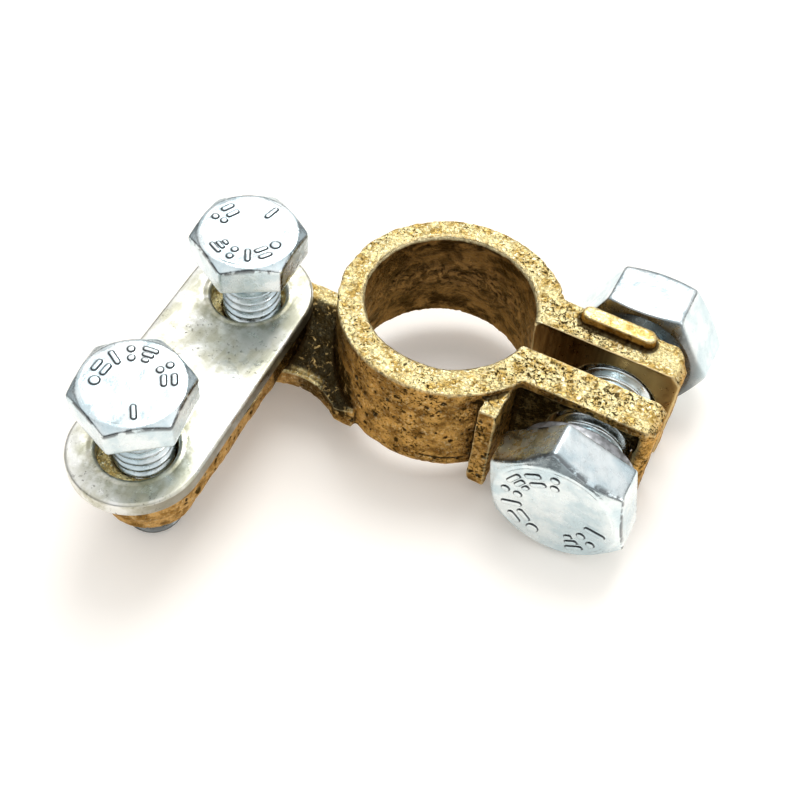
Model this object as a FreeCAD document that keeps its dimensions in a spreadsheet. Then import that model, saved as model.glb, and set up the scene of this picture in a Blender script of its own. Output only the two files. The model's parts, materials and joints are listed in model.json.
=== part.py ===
import FreeCAD, Part
import math
import os
import re

import Sketcher

# Ground clamp for the negative post of a car battery, in millimetres, +Z up.
# The origin is on the axis of the post bore, in the plane of the ring's lower face.
# The ears point along +X, the pinch bolt lies along Y and the cable lies along X on the saddle,
# which is beside the ring, at -X and -Y.

SIZES = {
    # split ring and its bore: a short cylindrical land, then the 1:9 taper of a battery post
    "ring_height": 12.0,
    "ring_radius": 11.25,
    "ring_offset_x": 0.3,
    "ring_offset_y": -0.4,
    "ring_top_bevel": 0.15,
    "ring_foot_bevel": 0.9,
    "bore_radius": 8.95,
    "bore_land": 1.5,
    "bore_taper": 9.0,
    "bore_rim_bevel": 0.35,
    # ears and the slot between them
    "slot_width": 3.4,
    "near_ear_thickness": 4.0,
    "far_ear_thickness": 3.9,
    "ear_end": 23.4,
    "near_end_bevel": 0.8,
    "far_end_bevel": 1.8,
    "top_end_bevel": 0.9,
    "ear_hole_radius": 4.4,
    "pinch_axis_x": 17.6,
    "pinch_axis_z": 5.75,
    "recess_depth": 1.0,
    "recess_end": 22.0,
    "recess_rim": 1.2,
    # rib beside the bolt head
    "rib_left": 7.8,
    "rib_right": 9.7,
    "rib_reach": 10.45,
    "rib_drop": 0.7,
    # raised bar with round ends on top of the far ear
    "ridge_start": 12.0,
    "ridge_end": 19.6,
    "ridge_inner": 3.5,
    "ridge_outer": 5.2,
    "ridge_height": 1.25,
    # saddle, the bosses under its tapped holes, cable seat
    "saddle_x": -18.8,
    "saddle_y": -16.25,
    "saddle_turn": 2.3,
    "saddle_span": 20.1,
    "saddle_radius": 5.85,
    "saddle_top": 5.9,
    "saddle_edge": 3.4,
    "saddle_bottom": 2.4,
    "saddle_draft": 18.0,
    "boss_radius_top": 5.0,
    "boss_radius_foot": 4.5,
    "boss_foot": -0.9,
    "seat_width": 9.0,
    "seat_depth": 1.1,
    # neck: a flange at the foot with an arch in it, and a sloping wall above the flange
    "neck_left": -16.5,
    "neck_right": -4.8,
    "neck_near": -10.8,
    "neck_far": 0.0,
    "neck_flange": 2.1,
    "arch_x": -11.6,
    "arch_y": -15.8,
    "arch_radius": 6.8,
    "slope_radius_foot": 7.3,
    "slope_radius_top": 16.6,
    # cable plate
    "plate_x": -19.1,
    "plate_y": -16.5,
    "plate_span": 21.3,
    "plate_radius": 6.5,
    "plate_thickness": 1.8,
    "plate_hole_radius": 3.8,
    "plate_bevel": 0.3,
    "plate_hole_front": 10.45,
    "plate_hole_rear": 10.55,
    # M6 cable bolts
    "cable_thread_radius": 2.95,
    "cable_thread_play": 0.05,
    "cable_bolt_length": 18.0,
    "cable_head_height": 3.3,
    "cable_across_flats": 10.0,
    "cable_face_radius": 4.67,
    "cable_corner_drop": 0.6,
    "front_bolt_x": -18.6,
    "front_bolt_y": -26.2,
    "front_bolt_lift": 13.0,
    "front_bolt_turn": 38.9,
    "rear_bolt_x": -19.2,
    "rear_bolt_y": -5.9,
    "rear_bolt_lift": 13.35,
    "rear_bolt_turn": 32.5,
    # M8 pinch bolt, spring washer and nut
    "pinch_thread_radius": 3.95,
    "pinch_thread_play": 0.05,
    "pinch_bolt_length": 25.0,
    "pinch_head_height": 4.6,
    "pinch_across_flats": 13.0,
    "pinch_face_radius": 6.0,
    "pinch_corner_drop": 0.88,
    "pinch_bearing_y": -8.9,
    "pinch_bolt_turn": -18.0,
    "nut_thickness": 6.3,
    "nut_near_y": 7.5,
    "nut_turn": -4.0,
    "nut_face_radius": 6.1,
    "nut_corner_drop": 0.75,
    "washer_inner": 4.15,
    "washer_outer": 6.1,
    "washer_section": 1.2,
    "washer_opening": 0.5,
    "washer_gap": 9.0,
    "washer_turn": 205.0,
    # ends of the screws
    "tip_bevel": 0.8,
}

document = FreeCAD.newDocument("ground_clamp")
sheet = document.addObject("Spreadsheet::Sheet", "sizes")
for row, (alias, value) in enumerate(SIZES.items(), start=1):
    sheet.set(f"A{row}", alias)
    sheet.set(f"B{row}", str(value))
    sheet.setAlias(f"B{row}", alias)
document.recompute()

X_AXIS = FreeCAD.Vector(1, 0, 0)
Y_AXIS = FreeCAD.Vector(0, 1, 0)
Z_AXIS = FreeCAD.Vector(0, 0, 1)
ALONG_Z = FreeCAD.Rotation()
ALONG_X = FreeCAD.Rotation(FreeCAD.Vector(0, 1, 0), 90)
ALONG_Y = FreeCAD.Rotation(X_AXIS, -90)
AGAINST_Y = FreeCAD.Rotation(X_AXIS, 90)
SIDES = 6


def size(alias):
    """Value of one driving dimension."""
    return float(sheet.get(alias))


def formula(text):
    """The text with every alias written as a cell of the sheet."""
    return re.sub(r"[a-z]\w+", lambda word: cell(word.group()), text)


def cell(word):
    """A word of a formula: an alias of the sheet gets the sheet's name before it."""
    return f"sizes.{word}" if word in SIZES else word


def bind(feature, **formulas):
    """Bind properties to formulas of the sheet's cells; spot_x, spot_y and spot_z bind the place."""
    for name, text in formulas.items():
        path = name.replace("spot_", "Placement.Base.")
        feature.setExpression(path, formula(text))


def solid_of_body(body, kind, name, rotation=ALONG_Z, **formulas):
    """One primitive of a body, added or taken away, bound to the sheet."""
    feature = body.newObject(f"PartDesign::{kind}", name)
    feature.Placement = FreeCAD.Placement(FreeCAD.Vector(), rotation)
    bind(feature, **formulas)
    document.recompute()
    return feature


def block(body, kind, name, low, high):
    """A box from its lowest to its highest corner, each written as three formulas."""
    lengths = [f"( {top} ) - ( {bottom} )" for bottom, top in zip(low, high)]
    return solid_of_body(body, kind, name,
                         Length=lengths[0], Width=lengths[1], Height=lengths[2],
                         spot_x=low[0], spot_y=low[1], spot_z=low[2])


def origin_plane(body, role):
    """A plane of the body's own origin."""
    return next(plane for plane in body.Origin.OriginFeatures if plane.Role == role)


def sketch_on(body, name, role):
    """A new sketch on one of the body's own origin planes."""
    sketch = body.newObject("Sketcher::SketchObject", name)
    sketch.AttachmentSupport = [(origin_plane(body, role), "")]
    sketch.MapMode = "FlatFace"
    return sketch


def stadium_sketch(body, name, part, height):
    """Two half circles joined by tangent lines, at a height: the outline of saddle or plate."""
    sketch = sketch_on(body, name, "XY_Plane")
    half, end = 10.0, 6.0
    rear = sketch.addGeometry(
        Part.ArcOfCircle(Part.Circle(FreeCAD.Vector(0, half, 0), Z_AXIS, end), 0, math.pi))
    front = sketch.addGeometry(
        Part.ArcOfCircle(Part.Circle(FreeCAD.Vector(0, -half, 0), Z_AXIS, end), math.pi, math.tau))
    left = sketch.addGeometry(
        Part.LineSegment(FreeCAD.Vector(-end, half, 0), FreeCAD.Vector(-end, -half, 0)))
    right = sketch.addGeometry(
        Part.LineSegment(FreeCAD.Vector(end, -half, 0), FreeCAD.Vector(end, half, 0)))
    chain = [rear, left, front, right]
    for first, second in zip(chain, chain[1:] + chain[:1]):
        sketch.addConstraint(Sketcher.Constraint("Tangent", first, 2, second, 1))
    sketch.addConstraint(Sketcher.Constraint("PointOnObject", rear, 3, -2))
    sketch.addConstraint(Sketcher.Constraint("PointOnObject", front, 3, -2))
    sketch.addConstraint(Sketcher.Constraint("Equal", rear, front))
    dimensions = {
        "radius": (Sketcher.Constraint("Radius", rear, end), f"{part}_radius"),
        "rear_span": (Sketcher.Constraint("DistanceY", -1, 1, rear, 3, half), f"{part}_span / 2"),
        "front_span": (Sketcher.Constraint("DistanceY", front, 3, -1, 1, half), f"{part}_span / 2"),
    }
    for label, (constraint, text) in dimensions.items():
        index = sketch.addConstraint(constraint)
        sketch.renameConstraint(index, label)
        sketch.setExpression(f"Constraints.{label}", formula(text))
    turn = FreeCAD.Rotation(Z_AXIS, size("saddle_turn"))
    sketch.AttachmentOffset = FreeCAD.Placement(FreeCAD.Vector(), turn)
    for axis, text in zip("xyz", (f"{part}_x", f"{part}_y", height)):
        sketch.setExpression(f"AttachmentOffset.Base.{axis}", formula(text))
    sketch.Visibility = False
    document.recompute()
    return sketch


def pad(body, name, sketch, length, downwards=False, draft=None):
    """A pad of a sketch, up or down, drawn in by a draft angle."""
    feature = body.newObject("PartDesign::Pad", name)
    feature.Profile = sketch
    feature.Reversed = downwards
    bind(feature, Length=length)
    if draft:
        bind(feature, TaperAngle=draft)
    document.recompute()
    return feature


def ring_profile(body):
    """Half section of the ring, from its axis out, with the bevels of its outer edges."""
    sketch = sketch_on(body, "ring_section", "XZ_Plane")
    radius, height = size("ring_radius"), size("ring_height")
    foot, top = size("ring_foot_bevel"), size("ring_top_bevel")
    corners = [(0, 0), (radius - foot / 2, 0), (radius, foot), (radius, height - top),
               (radius - top, height), (0, height)]
    lines = []
    for start, end in zip(corners, corners[1:] + corners[:1]):
        lines.append(sketch.addGeometry(
            Part.LineSegment(FreeCAD.Vector(*start, 0), FreeCAD.Vector(*end, 0))))
    for first, second in zip(lines, lines[1:] + lines[:1]):
        sketch.addConstraint(Sketcher.Constraint("Coincident", first, 2, second, 1))
    places = {
        1: ("ring_radius - ring_foot_bevel / 2", None),
        2: ("ring_radius", "ring_foot_bevel"),
        3: ("ring_radius", "ring_height - ring_top_bevel"),
        4: ("ring_radius - ring_top_bevel", "ring_height"),
    }
    sketch.addConstraint(Sketcher.Constraint("Coincident", lines[0], 1, -1, 1))
    sketch.addConstraint(Sketcher.Constraint("Horizontal", lines[0]))
    sketch.addConstraint(Sketcher.Constraint("Vertical", lines[5]))
    sketch.addConstraint(Sketcher.Constraint("Horizontal", lines[4]))
    for corner, texts in places.items():
        for kind, text, value in zip(("DistanceX", "DistanceY"), texts, corners[corner]):
            if text is None:
                continue
            index = sketch.addConstraint(
                Sketcher.Constraint(kind, -1, 1, lines[corner], 1, value))
            sketch.renameConstraint(index, f"{kind}_{corner}")
            sketch.setExpression(f"Constraints.{kind}_{corner}", formula(text))
    for axis, text in zip("xz", ("ring_offset_x", "- ring_offset_y")):
        sketch.setExpression(f"AttachmentOffset.Base.{axis}", formula(text))
    sketch.Visibility = False
    document.recompute()
    return sketch


def make_casting():
    """The brass casting: ring, ears, rib, ridge, neck and saddle, with its bore, slot and holes."""
    body = document.addObject("PartDesign::Body", "clamp_casting")

    block(body, "AdditiveBox", "neck",
          ("neck_left", "neck_near", "0"), ("neck_right", "neck_far", "saddle_top"))
    solid_of_body(body, "SubtractiveCylinder", "neck_arch", Radius="arch_radius",
                  Height="ring_height", spot_x="arch_x", spot_y="arch_y", spot_z="-1")
    solid_of_body(body, "SubtractiveCone", "neck_slope", Radius1="slope_radius_foot",
                  Radius2="slope_radius_top", Height="saddle_top", spot_x="arch_x",
                  spot_y="arch_y", spot_z="neck_flange")

    ring = body.newObject("PartDesign::Revolution", "ring")
    ring.Profile = ring_profile(body)
    ring.ReferenceAxis = (ring.Profile[0], ["V_Axis"])
    document.recompute()

    outline = stadium_sketch(body, "saddle_outline", "saddle", "saddle_edge")
    pad(body, "saddle_upper", outline, "saddle_top - saddle_edge")
    pad(body, "saddle_lower", outline, "saddle_edge - saddle_bottom",
        downwards=True, draft="- saddle_draft")
    for end in ("front", "rear"):
        solid_of_body(body, "AdditiveCone", f"{end}_boss", Radius1="boss_radius_foot",
                      Radius2="boss_radius_top", Height="saddle_edge - boss_foot",
                      spot_x=f"{end}_bolt_x", spot_y=f"{end}_bolt_y", spot_z="boss_foot")

    near = "- slot_width / 2 - near_ear_thickness"
    far = "slot_width / 2 + far_ear_thickness"
    block(body, "AdditiveBox", "near_ear",
          ("bore_radius / 2", near, "0"), ("ear_end", "- slot_width / 2", "ring_height"))
    block(body, "AdditiveBox", "far_ear",
          ("bore_radius / 2", "slot_width / 2", "0"), ("ear_end", far, "ring_height"))
    bevel_ear_ends(body)
    block(body, "AdditiveBox", "rib",
          ("rib_left", "- rib_reach", "0"),
          ("rib_right", "- slot_width / 2 - recess_depth", "ring_height - rib_drop"))
    make_ridge(body)
    block(body, "SubtractiveBox", "recess",
          ("rib_right", near + " - 1", "-1"),
          ("recess_end", near + " + recess_depth", "ring_height - recess_rim"))
    cut_bore(body)
    block(body, "SubtractiveBox", "slot",
          ("0", "- slot_width / 2", "-1"), ("ear_end + 1", "slot_width / 2", "ring_height + 1"))
    solid_of_body(body, "SubtractiveCylinder", "ear_holes", ALONG_Y, Radius="ear_hole_radius",
                  Height="4 * ring_height", spot_x="pinch_axis_x", spot_y="-2 * ring_height",
                  spot_z="pinch_axis_z")
    cut_saddle(body)
    return body


def make_ridge(body):
    """The raised bar on the far ear, rooted 1 mm deep, with a half cylinder at each end."""
    half_width = "( ridge_outer - ridge_inner ) / 2"
    block(body, "AdditiveBox", "ridge",
          (f"ridge_start + {half_width}", "ridge_inner", "ring_height - 1"),
          (f"ridge_end - {half_width}", "ridge_outer", "ring_height + ridge_height"))
    for end, place in (("left", f"ridge_start + {half_width}"),
                       ("right", f"ridge_end - {half_width}")):
        solid_of_body(body, "AdditiveCylinder", f"ridge_{end}_end", Radius=half_width,
                      Height="ridge_height + 1", spot_x=place,
                      spot_y="( ridge_inner + ridge_outer ) / 2", spot_z="ring_height - 1")


def bevel_ear_ends(body):
    """Take the outer corner off the end of each ear, and the top corner off both ends."""
    ends = {
        "near": "- slot_width / 2 - near_ear_thickness",
        "far": "slot_width / 2 + far_ear_thickness",
    }
    for side, outer in ends.items():
        bevel = f"{side}_end_bevel"
        cutter = solid_of_body(body, "SubtractiveBox", f"{side}_ear_bevel",
                               FreeCAD.Rotation(Z_AXIS, 45), Length=f"4 * {bevel}",
                               Width=f"4 * {bevel}", Height="ring_height + 2", spot_z="-1")
        # The middle of one side of the turned box lies on the middle of the bevel.
        diagonal = f"4 * {bevel} / sqrt(2)"
        if side == "near":
            bind(cutter, spot_x=f"ear_end - {bevel} / 2 + {diagonal} / 2",
                 spot_y=f"{outer} + {bevel} / 2 - 3 * {diagonal} / 2")
        else:
            bind(cutter, spot_x=f"ear_end - {bevel} / 2 + {diagonal} / 2",
                 spot_y=f"{outer} - {bevel} / 2 - {diagonal} / 2")
        document.recompute()
    half_side = "2 * top_end_bevel / sqrt(2)"
    solid_of_body(body, "SubtractiveBox", "ear_top_bevel", FreeCAD.Rotation(Y_AXIS, 45),
                  Length="4 * top_end_bevel", Height="4 * top_end_bevel",
                  Width="slot_width + near_ear_thickness + far_ear_thickness + 2",
                  spot_x=f"ear_end - top_end_bevel / 2 - {half_side}",
                  spot_y="- slot_width / 2 - near_ear_thickness - 1",
                  spot_z=f"ring_height - top_end_bevel / 2 + {half_side}")


def cut_bore(body):
    """The cylindrical land, the taper above it and the bevel round the upper rim."""
    top_radius = "( bore_radius - ( ring_height - bore_land ) / ( 2 * bore_taper ) )"
    solid_of_body(body, "SubtractiveCylinder", "bore_land_cut", Radius="bore_radius",
                  Height="bore_land", spot_z="0")
    solid_of_body(body, "SubtractiveCone", "bore_taper_cut", Radius1="bore_radius",
                  Radius2=top_radius, Height="ring_height - bore_land", spot_z="bore_land")
    solid_of_body(body, "SubtractiveCone", "bore_rim_cut", Radius1=top_radius,
                  Radius2=f"{top_radius} + bore_rim_bevel", Height="bore_rim_bevel",
                  spot_z="ring_height - bore_rim_bevel")


def cut_saddle(body):
    """The shallow seat for the cable and the two tapped holes."""
    seat_radius = "( ( seat_width / 2 ) ^ 2 + seat_depth ^ 2 ) / ( 2 * seat_depth )"
    solid_of_body(body, "SubtractiveCylinder", "cable_seat", ALONG_X, Radius=seat_radius,
                  Height="3 * saddle_radius", spot_x="saddle_x - 2 * saddle_radius",
                  spot_y="saddle_y", spot_z=f"saddle_top - seat_depth + {seat_radius}")
    for end in ("front", "rear"):
        solid_of_body(body, "SubtractiveCylinder", f"{end}_tapped_hole",
                      Radius="cable_thread_radius + cable_thread_play", Height="ring_height",
                      spot_x=f"{end}_bolt_x", spot_y=f"{end}_bolt_y", spot_z="boss_foot - 1")


def make_plate():
    """The steel plate: a stadium with a bevelled upper edge and two clearance holes."""
    body = document.addObject("PartDesign::Body", "cable_clamp_plate")
    outline = stadium_sketch(body, "plate_outline", "plate", "saddle_top")
    blank = pad(body, "plate_blank", outline, "plate_thickness")
    edges = [f"Edge{number}" for number, edge in enumerate(blank.Shape.Edges, start=1)
             if edge.BoundBox.ZMin > size("saddle_top") + size("plate_thickness") / 2]
    bevel = body.newObject("PartDesign::Chamfer", "plate_upper_bevel")
    bevel.Base = (blank, edges)
    bind(bevel, Size="plate_bevel")
    document.recompute()
    turn = math.radians(size("saddle_turn"))
    for end, sign in (("front", -1), ("rear", 1)):
        reach = f"plate_hole_{end}"
        along_x, along_y = -sign * math.sin(turn), sign * math.cos(turn)
        solid_of_body(body, "SubtractiveCylinder", f"{end}_hole", Radius="plate_hole_radius",
                      Height="4 * plate_thickness",
                      spot_x=f"plate_x + {along_x:.4f} * {reach}",
                      spot_y=f"plate_y + {along_y:.4f} * {reach}",
                      spot_z="saddle_top - plate_thickness")
    return body


def primitive(kind, name, **formulas):
    """A Part primitive bound to the sheet."""
    feature = document.addObject(f"Part::{kind}", name)
    bind(feature, **formulas)
    return feature


def hexagon(name, flats, height, face_radius, drop, both_ends=False):
    """A hexagonal prism with its outer corners turned down by a cone, on one or both ends."""
    prism = primitive("Prism", f"{name}_prism", Circumradius=f"{flats} / sqrt(3)",
                      Height=height)
    prism.Polygon = SIDES
    slope = f"( {flats} / sqrt(3) - {face_radius} ) / {drop}"
    wide = f"{face_radius} + {slope} * {height}"
    upper = primitive("Cone", f"{name}_upper_cone", Radius1=wide, Radius2=face_radius,
                      Height=height)
    shape = document.addObject("Part::Common", f"{name}_turned")
    shape.Base, shape.Tool = prism, upper
    if both_ends:
        lower = primitive("Cone", f"{name}_lower_cone", Radius1=face_radius, Radius2=wide,
                          Height=height)
        turned = document.addObject("Part::Common", f"{name}_turned_twice")
        turned.Base, turned.Tool = shape, lower
        shape = turned
    return shape


def make_screw(name, family, place_x, place_y, place_z, rotation):
    """A hexagon screw: head above the bearing plane, shank with a bevelled tip below it."""
    head = hexagon(name, f"{family}_across_flats", f"{family}_head_height",
                   f"{family}_face_radius", f"{family}_corner_drop")
    thread, length = f"{family}_thread_radius", f"{family}_bolt_length"
    shank = primitive("Cylinder", f"{name}_shank", Radius=thread,
                      Height=f"{length} - tip_bevel", spot_z=f"tip_bevel - {length}")
    tip = primitive("Cone", f"{name}_tip", Radius1=f"{thread} - tip_bevel", Radius2=thread,
                    Height="tip_bevel", spot_z=f"- {length}")
    screw = document.addObject("Part::MultiFuse", name)
    screw.Shapes = [head, shank, tip]
    screw.Placement = FreeCAD.Placement(FreeCAD.Vector(), rotation)
    bind(screw, spot_x=place_x, spot_y=place_y, spot_z=place_z)
    return screw


def make_nut():
    """The hexagon nut, with a bore that clears the screw's outer diameter."""
    outer = hexagon("pinch_nut", "pinch_across_flats", "nut_thickness", "nut_face_radius",
                    "nut_corner_drop", both_ends=True)
    bore = primitive("Cylinder", "pinch_nut_bore", Height="nut_thickness + 2",
                     Radius="pinch_thread_radius + pinch_thread_play", spot_z="-1")
    nut = document.addObject("Part::Cut", "pinch_nut")
    nut.Base, nut.Tool = outer, bore
    turn = FreeCAD.Rotation(Z_AXIS, size("nut_turn"))
    nut.Placement = FreeCAD.Placement(FreeCAD.Vector(), ALONG_Y.multiply(turn))
    bind(nut, spot_x="pinch_axis_x", spot_y="nut_near_y", spot_z="pinch_axis_z")
    return nut


def make_washer():
    """The split spring washer: a rectangular section on a helix of nearly one turn."""
    inner, outer = size("washer_inner"), size("washer_outer")
    section, opening = size("washer_section"), size("washer_opening")
    turn = 360.0 - size("washer_gap")
    helix = Part.makeHelix(opening * 360.0 / turn, opening, (inner + outer) / 2)
    corners = [(inner, 0), (outer, 0), (outer, section), (inner, section), (inner, 0)]
    profile = Part.makePolygon([FreeCAD.Vector(radius, 0, rise) for radius, rise in corners])
    washer = document.addObject("Part::Feature", "pinch_spring_washer")
    washer.Shape = Part.Wire(helix).makePipeShell([profile], True, True)
    turned = AGAINST_Y.multiply(FreeCAD.Rotation(Z_AXIS, size("washer_turn")))
    seat = size("pinch_bearing_y") + section + opening
    washer.Placement = FreeCAD.Placement(
        FreeCAD.Vector(size("pinch_axis_x"), seat, size("pinch_axis_z")), turned)
    return washer


def turned_about_axis(base, alias):
    """A direction turned about its own axis by one angle of the sheet."""
    return base.multiply(FreeCAD.Rotation(Z_AXIS, size(alias)))


def make_pieces():
    """Every separate piece of the clamp."""
    pieces = [make_casting(), make_plate()]
    for end in ("front", "rear"):
        pieces.append(make_screw(f"cable_bolt_{end}", "cable", f"{end}_bolt_x", f"{end}_bolt_y",
                                 f"{end}_bolt_lift",
                                 turned_about_axis(ALONG_Z, f"{end}_bolt_turn")))
    pieces.append(make_screw("pinch_bolt", "pinch", "pinch_axis_x", "pinch_bearing_y",
                             "pinch_axis_z", turned_about_axis(AGAINST_Y, "pinch_bolt_turn")))
    pieces.append(make_nut())
    pieces.append(make_washer())
    return pieces


pieces = make_pieces()
document.recompute()
for item in document.Objects:
    if "Invalid" in item.State or "Error" in item.State:
        raise RuntimeError(f"{item.Label} did not recompute: {item.State}")
for piece in pieces:
    if piece.Shape.isNull() or not piece.Shape.isValid() or len(piece.Shape.Solids) != 1:
        raise RuntimeError(f"{piece.Label} is not one valid solid")

os.makedirs("parts", exist_ok=True)
for piece in pieces:
    piece.Label = piece.Name
    piece.Shape.exportStep(f"parts/{piece.Label}.step")
    box = piece.Shape.BoundBox
    print(f"{piece.Label}: {piece.Shape.Volume:.1f} mm3,"
          f" x {box.XMin:.2f} {box.XMax:.2f}, y {box.YMin:.2f} {box.YMax:.2f},"
          f" z {box.ZMin:.2f} {box.ZMax:.2f}")
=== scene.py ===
import itertools
import json
import math

import bpy
import numpy as np
from mathutils import Matrix, Quaternion, Vector


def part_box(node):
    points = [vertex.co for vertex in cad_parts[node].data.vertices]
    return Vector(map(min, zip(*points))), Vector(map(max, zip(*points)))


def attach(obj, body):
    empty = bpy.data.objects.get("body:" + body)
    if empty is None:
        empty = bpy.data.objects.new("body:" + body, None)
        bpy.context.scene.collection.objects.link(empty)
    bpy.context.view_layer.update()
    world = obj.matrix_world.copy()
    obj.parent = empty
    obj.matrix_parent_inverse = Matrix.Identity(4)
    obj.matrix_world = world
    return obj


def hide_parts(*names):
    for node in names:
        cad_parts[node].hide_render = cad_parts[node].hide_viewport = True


# Looks of the battery post ground clamp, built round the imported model, in metres.
# Meshes are worked out in millimetres and scaled once, because their details are that small.

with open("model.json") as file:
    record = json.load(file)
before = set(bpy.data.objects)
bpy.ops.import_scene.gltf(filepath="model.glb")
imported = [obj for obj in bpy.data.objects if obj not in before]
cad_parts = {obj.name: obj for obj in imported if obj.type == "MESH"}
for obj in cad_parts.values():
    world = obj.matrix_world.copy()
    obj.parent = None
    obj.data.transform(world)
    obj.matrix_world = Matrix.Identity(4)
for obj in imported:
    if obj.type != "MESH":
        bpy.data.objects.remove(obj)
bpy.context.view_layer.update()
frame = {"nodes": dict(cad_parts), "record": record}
MM = 0.001

LOW, HIGH = 0, 1


def box_mm(node):
    """Lowest and highest corners of a CAD node in millimetres."""
    return [np.array(corner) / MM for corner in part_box(node)]


# Read from the frame, in millimetres.
JOINTS = {joint["name"]: joint for joint in frame["record"]["behaviour"]["joints"]}
PLATE = box_mm("cable_clamp_plate")
PINCH_SPOT = np.array(JOINTS["pinch_bolt_turn"]["pos_m"]) / MM
PINCH_X, PINCH_Z = PINCH_SPOT[0], PINCH_SPOT[2]

# Sizes that the frame doesn't give, in millimetres.
RING_HEIGHT = 12.0
PLATE_RADIUS, PLATE_SPAN = 6.5, 21.3
PLATE_HOLE_RADIUS = 3.8
PLATE_HOLE_REACHES = (-10.45, 10.55)

# How far the casting's masks reach, in millimetres: a little past the feature each one covers.
SLOT_REACH, SLOT_START = 1.85, 7.5
BORE_REACH = 9.05
EAR_HOLE_REACH = 4.6
SEAT_REACH = 8.5
PARTING_HEIGHT, CREASE_HEIGHT = 1.25, 1.75
LINE_WIDTH = 0.16


# ---------------------------------------------------------------- meshes

def new_piece(name, vertices, faces, material, body, replaced=(), smooth=True):
    """A mesh piece from millimetre vertices, which rides on a body and replaces CAD nodes."""
    mesh = bpy.data.meshes.new(name)
    mesh.from_pydata((np.asarray(vertices) * MM).tolist(), [], faces)
    mesh.validate()
    piece = bpy.data.objects.new(name, mesh)
    bpy.context.scene.collection.objects.link(piece)
    mesh.materials.append(material)
    mesh.polygons.foreach_set("use_smooth", [smooth] * len(mesh.polygons))
    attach(piece, body)
    if replaced:
        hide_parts(*replaced)
    return piece


def keep_shades(piece, shades):
    """Numbers kept on the mesh's vertices for its material to read."""
    for name, values in shades.items():
        layer = piece.data.attributes.new(name, "FLOAT", "POINT")
        layer.data.foreach_set("value", np.asarray(values, dtype=np.float32))


def outward(vertices, quads, triangles=()):
    """Faces as lists, turned round if the closed mesh they make is inside out."""
    volume = 0.0
    for first, second, third in ((0, 1, 2), (0, 2, 3)):
        corners = [vertices[quads[:, column]] for column in (first, second, third)]
        volume += np.einsum("ij,ij->", corners[0], np.cross(corners[1], corners[2]))
    faces = quads.tolist() + [list(triangle) for triangle in triangles]
    return [face[::-1] for face in faces] if volume < 0 else faces


def ring_stack(rings, start_pole=None, end_pole=None, closed=False):
    """Vertices and outward faces of rings of equal length, closed by poles or end to start."""
    count, segments = len(rings), len(rings[0])
    vertices = np.concatenate(rings)
    upper = np.arange(count if closed else count - 1)[:, None] * segments
    lower = (upper + segments) % (count * segments)
    along = np.arange(segments)[None, :]
    after = (along + 1) % segments
    quads = np.stack([upper + along, lower + along, lower + after, upper + after], axis=2)
    triangles = []
    if start_pole is not None:
        pole = len(vertices)
        vertices = np.concatenate([vertices, [start_pole]])
        triangles += [(pole, j, (j + 1) % segments) for j in range(segments)]
    if end_pole is not None:
        pole, base = len(vertices), (count - 1) * segments
        vertices = np.concatenate([vertices, [end_pole]])
        triangles += [(pole, base + (j + 1) % segments, base + j) for j in range(segments)]
    return vertices, outward(vertices, quads.reshape(-1, 4), triangles)


def placed(vertices, rotation, spot):
    """Vertices turned and moved to a spot."""
    turn = np.array(rotation.to_matrix())
    return vertices @ turn.T + np.array(spot)


def smooth_step(value, low, high):
    """0 below low, 1 above high and a smooth rise between them."""
    share = np.clip((value - low) / (high - low), 0, 1)
    return share * share * (3 - 2 * share)


# Turns the noise's grid away from the axes, so that flat faces don't follow its cells.
TURN = np.array(Quaternion((0.6, 0.5, 0.62), 0.9).to_matrix())


def hashed(cells, seed):
    """A number from 0 to 1 for each cell of whole numbers."""
    mixed = (cells[:, 0] * 73856093) ^ (cells[:, 1] * 19349663) ^ (cells[:, 2] * 83492791)
    mixed = (mixed ^ (seed * 2654435761)) & 0xFFFFFFFF
    for factor in (0x7FEB352D, 0x846CA68B):
        mixed = ((mixed ^ (mixed >> 15)) * factor) & 0xFFFFFFFF
    return ((mixed ^ (mixed >> 16)) & 0xFFFFFF) / 0xFFFFFF


def noise_at(points, scale, seed):
    """Smooth noise, from -1 to 1, at each point."""
    spots = points @ TURN * scale
    cells = np.floor(spots).astype(np.int64)
    part = spots - cells
    part = part * part * (3 - 2 * part)
    total = np.zeros(len(points))
    for corner in itertools.product((0, 1), repeat=3):
        weight = np.prod(np.where(corner, part, 1 - part), axis=1)
        total += weight * hashed(cells + np.array(corner), seed)
    return 2 * total - 1


def spots_at(points, spacing, seed, share, small, large):
    """Depth share of scattered round spots: 1 in the middle of a spot and 0 outside."""
    spots = points @ TURN / spacing
    cells = np.floor(spots).astype(np.int64)
    deepest = np.zeros(len(points))
    for offset in itertools.product((-1, 0, 1), repeat=3):
        near = cells + np.array(offset)
        middle = near + 0.15 + 0.7 * np.stack([hashed(near, seed + key) for key in (31, 57, 83)],
                                              axis=1)
        radius = (small + (large - small) * hashed(near, seed + 101)) / spacing
        here = hashed(near, seed + 129) < share
        away = np.linalg.norm(spots - middle, axis=1) / radius
        deepest = np.maximum(deepest, here * (1 - away))
    return smooth_step(deepest, 0.0, 0.6)


SEGMENTS = 256
ANGLES = np.arange(SEGMENTS) * math.tau / SEGMENTS
CORNER_SHARPNESS = 70


def hexagon_radius(across_flats, angles=ANGLES):
    """Distance from the axis to a hexagon's side, with slightly rounded corners at 0, 60 ..."""
    half = across_flats / 2
    total = sum(np.abs(np.cos(angles - math.radians(30 + 60 * side)) / half) ** CORNER_SHARPNESS
                for side in range(3))
    return total ** (-1 / CORNER_SHARPNESS)


def polar(radius, angles, height):
    """Points at a radius and a height round the Z axis."""
    radius = np.broadcast_to(radius, angles.shape)
    height = np.broadcast_to(height, angles.shape)
    return np.stack([radius * np.cos(angles), radius * np.sin(angles), height], axis=1)


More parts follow.
